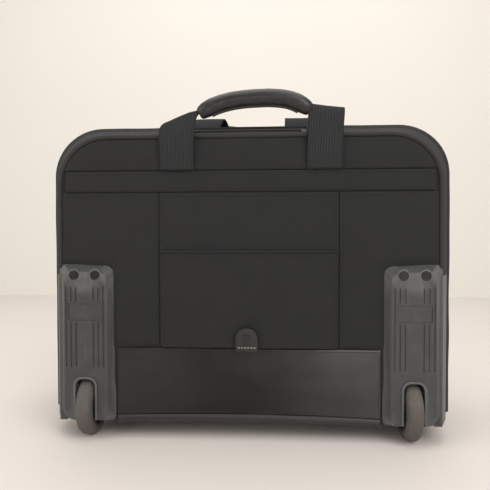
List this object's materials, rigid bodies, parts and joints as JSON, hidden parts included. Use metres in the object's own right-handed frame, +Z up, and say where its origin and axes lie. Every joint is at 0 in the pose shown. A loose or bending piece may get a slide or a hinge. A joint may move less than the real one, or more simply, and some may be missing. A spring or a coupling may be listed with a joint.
{
  "type": "rolling laptop case",
  "caption": "Wheeled soft laptop case with ribbed wheel guards, sewn back sleeve, arched carry handles, hinged zip front and telescoping pull handle.",
  "frame": {"origin": "centre of the bounding box's base, on the floor under the upright case", "axes": "+X to the right seen from the wheeled back, +Y from that back towards the front pocket, +Z up"},
  "size_m": [0.4591, 0.2058, 0.387],
  "materials": {
    "woven_fabric": "heavy woven nylon, near black",
    "glossy_vinyl": "smooth glossy coated panel",
    "soft_leather": "fine-grained dark leather",
    "webbing": "ribbed nylon webbing",
    "zip_tape": "zip tape with coil teeth",
    "lining": "smooth grey lining",
    "guard_plastic": "fine-textured moulded plastic, satin",
    "inner_plastic": "plain black sheet plastic",
    "tyre": "grey-brown polyurethane",
    "hub_plastic": "satin black plastic",
    "steel": "plated steel",
    "dark_screw": "black oxide",
    "zip_metal": "dark nickel",
    "tube_aluminium": "anodised",
    "grip_plastic": "satin black",
    "rubber_foot": "black rubber"
  },
  "bodies": {
    "case": {"back_panel": "woven_fabric", "back_band": "woven_fabric", "back_centre_panel": "woven_fabric", "sleeve_pocket": "woven_fabric", "kick_panel": "glossy_vinyl", "bottom_trim": "glossy_vinyl", "back_piping": "woven_fabric", "back_gusset": "woven_fabric", "back_zip_tape": "zip_tape", "main_gusset": "woven_fabric", "mouth_zip_tape": "zip_tape", "base_pan": "inner_plastic", "wheel_well_left": "inner_plastic", "wheel_well_right": "inner_plastic", "front_feet": "rubber_foot", "frame_sheet": "inner_plastic", "guard_left": "guard_plastic", "guard_right": "guard_plastic", "guard_screws": "dark_screw", "axle_left": "steel", "axle_right": "steel", "handle_outer_tubes": "tube_aluminium", "handle_housing": "grip_plastic", "handle_bracket": "inner_plastic", "laptop_sleeve": "lining", "laptop_strap": "webbing", "strap_patches": "webbing"},
    "wheel_left": {"tyre_left": "tyre", "hub_left": "hub_plastic", "bearings_left": "steel"},
    "wheel_right": {"tyre_right": "tyre", "hub_right": "hub_plastic", "bearings_right": "steel"},
    "handle_stage_1": {"stage_1_tubes": "tube_aluminium"},
    "handle_stage_2": {"stage_2_tubes": "tube_aluminium"},
    "handle_stage_3": {"stage_3_tubes": "tube_aluminium", "handle_grip": "grip_plastic", "button_springs": "steel"},
    "handle_button": {"handle_button": "grip_plastic", "button_rods": "steel"},
    "back_handle": {"back_handle_straps": "webbing", "back_handle_grip": "soft_leather"},
    "front_handle": {"front_handle_straps": "webbing", "front_handle_grip": "soft_leather"},
    "tab": {"sleeve_tab": "soft_leather", "tab_snap": "dark_screw"},
    "lid": {"lid_zip_tape": "zip_tape", "lid_gusset": "woven_fabric", "lid_panel": "woven_fabric", "lid_piping": "woven_fabric", "lid_organiser": "lining", "front_pocket": "woven_fabric"},
    "back_zip_slider": {"back_zip_slider": "zip_metal"},
    "back_zip_pull": {"back_zip_pull": "zip_metal"},
    "main_left_slider": {"main_left_slider": "zip_metal"},
    "main_left_pull": {"main_left_pull": "zip_metal"},
    "main_right_slider": {"main_right_slider": "zip_metal"},
    "main_right_pull": {"main_right_pull": "zip_metal"},
    "pocket_slider": {"pocket_slider": "zip_metal"},
    "pocket_pull": {"pocket_pull": "zip_metal"}
  },
  "joints": [
    {"name": "wheel_left_spin", "type": "hinge", "parent": "case", "child": "wheel_left", "pos_m": [-0.18, -0.06795, 0.035], "axis": [1, 0, 0], "continuous": true},
    {"name": "wheel_right_spin", "type": "hinge", "parent": "case", "child": "wheel_right", "pos_m": [0.18, -0.06795, 0.035], "axis": [1, 0, 0], "continuous": true},
    {"name": "handle_stage_1_slide", "type": "slide", "parent": "case", "child": "handle_stage_1", "axis": [0, 0, 1], "range_m": [0, 0.225]},
    {"name": "handle_stage_2_slide", "type": "slide", "parent": "handle_stage_1", "child": "handle_stage_2", "axis": [0, 0, 1], "range_m": [0, 0.225]},
    {"name": "handle_stage_3_slide", "type": "slide", "parent": "handle_stage_2", "child": "handle_stage_3", "axis": [0, 0, 1], "range_m": [0, 0.22]},
    {"name": "handle_button_press", "type": "slide", "parent": "handle_stage_3", "child": "handle_button", "axis": [0, 0, -1], "range_m": [0, 0.0025], "stiffness_N_per_m": 400, "springref_m": -0.005, "deforming": ["button_springs"]},
    {"name": "back_handle_swing", "type": "hinge", "parent": "case", "child": "back_handle", "pos_m": [0, -0.08585, 0.2977], "axis": [1, 0, 0], "range_deg": [0, 120]},
    {"name": "front_handle_swing", "type": "hinge", "parent": "case", "child": "front_handle", "pos_m": [0, 0.03105, 0.3527], "axis": [1, 0, 0], "range_deg": [0, 75]},
    {"name": "tab_lift", "type": "hinge", "parent": "case", "child": "tab", "pos_m": [0, -0.08455, 0.102], "axis": [1, 0, 0], "range_deg": [0, 85]},
    {"name": "lid_open", "type": "hinge", "parent": "case", "child": "lid", "pos_m": [0, 0.0502, 0.022], "axis": [-1, 0, 0], "range_deg": [0, 30]},
    {"name": "back_zip_run", "type": "slide", "parent": "case", "child": "back_zip_slider", "axis": [0, 0, 1], "range_m": [0, 0.2]},
    {"name": "back_zip_pull_swing", "type": "hinge", "parent": "back_zip_slider", "child": "back_zip_pull", "pos_m": [0.2296, -0.0418, 0.082], "axis": [0, -1, 0], "range_deg": [0, 150]},
    {"name": "main_left_run", "type": "slide", "parent": "case", "child": "main_left_slider", "axis": [-1, 0, 0], "range_m": [0, 0.136]},
    {"name": "main_left_pull_swing", "type": "hinge", "parent": "main_left_slider", "child": "main_left_pull", "pos_m": [-0.014, 0.05005, 0.3536], "axis": [0, 1, 0], "range_deg": [0, 150]},
    {"name": "main_right_run", "type": "slide", "parent": "case", "child": "main_right_slider", "axis": [1, 0, 0], "range_m": [0, 0.136]},
    {"name": "main_right_pull_swing", "type": "hinge", "parent": "main_right_slider", "child": "main_right_pull", "pos_m": [0.014, 0.05005, 0.3536], "axis": [0, -1, 0], "range_deg": [0, 150]},
    {"name": "pocket_run", "type": "slide", "parent": "lid", "child": "pocket_slider", "axis": [-1, 0, 0], "range_m": [0, 0.26]},
    {"name": "pocket_pull_swing", "type": "hinge", "parent": "pocket_slider", "child": "pocket_pull", "pos_m": [0.134, 0.10045, 0.222], "axis": [0, 0, 1], "range_deg": [0, 150]}
  ]
}
